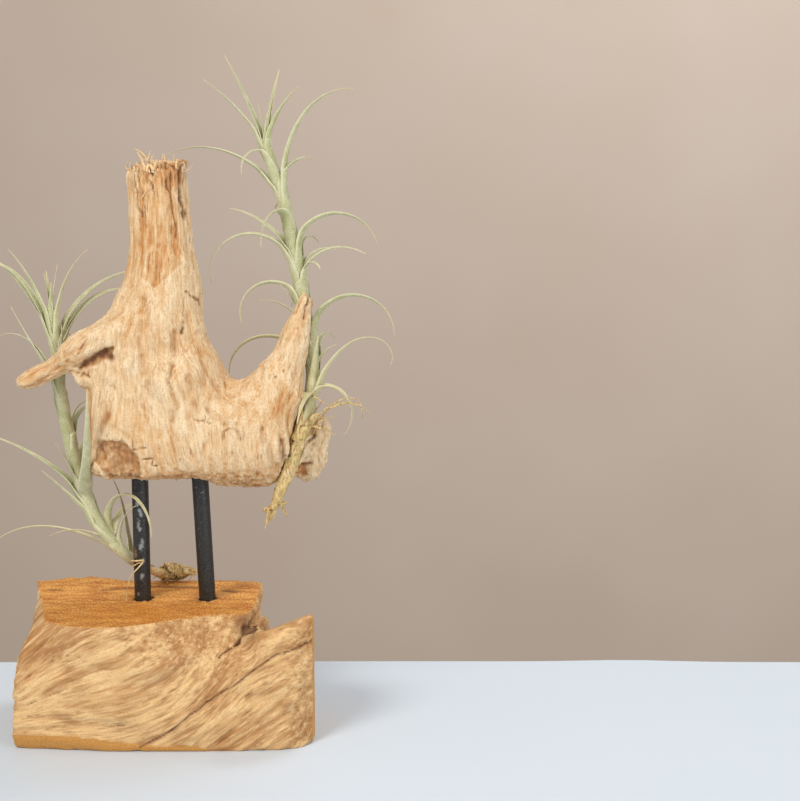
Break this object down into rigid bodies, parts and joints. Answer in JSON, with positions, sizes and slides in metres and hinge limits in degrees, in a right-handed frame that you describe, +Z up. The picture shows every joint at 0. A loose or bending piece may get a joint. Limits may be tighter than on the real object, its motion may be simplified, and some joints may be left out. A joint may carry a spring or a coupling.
{
  "type": "air plants on a driftwood stand",
  "caption": "Long-stemmed silvery green air plants that lean on a piece of driftwood, held by steel rods above a weathered wooden block.",
  "frame": {"origin": "middle of the block's flat underside, on the surface that it stands on", "axes": "+Z up along the stand, which is its longest side; +X to the right, towards the horn of the driftwood; -Y towards the viewer"},
  "size_m": [0.3006, 0.136, 0.4784],
  "materials": {
    "block_wood": "weathered, with open grain; oiled orange-brown on the sawn top",
    "driftwood": "bleached, dry and matt, with open grain and worn hollows",
    "black_paint": "brushed-on black paint, half gloss, chipped",
    "living_leaf": "silvery grey-green, with a felt of tiny scales",
    "dry_leaf": "papery, dry and fibrous"
  },
  "bodies": {
    "root": {"base_block": "block_wood", "rod_left": "black_paint", "rod_right": "black_paint", "driftwood": "driftwood", "right_plant_shoot": "living_leaf", "right_plant_dry_base": "dry_leaf", "left_plant_shoot": "living_leaf", "left_plant_dry_base": "dry_leaf"}
  },
  "joints": []
}
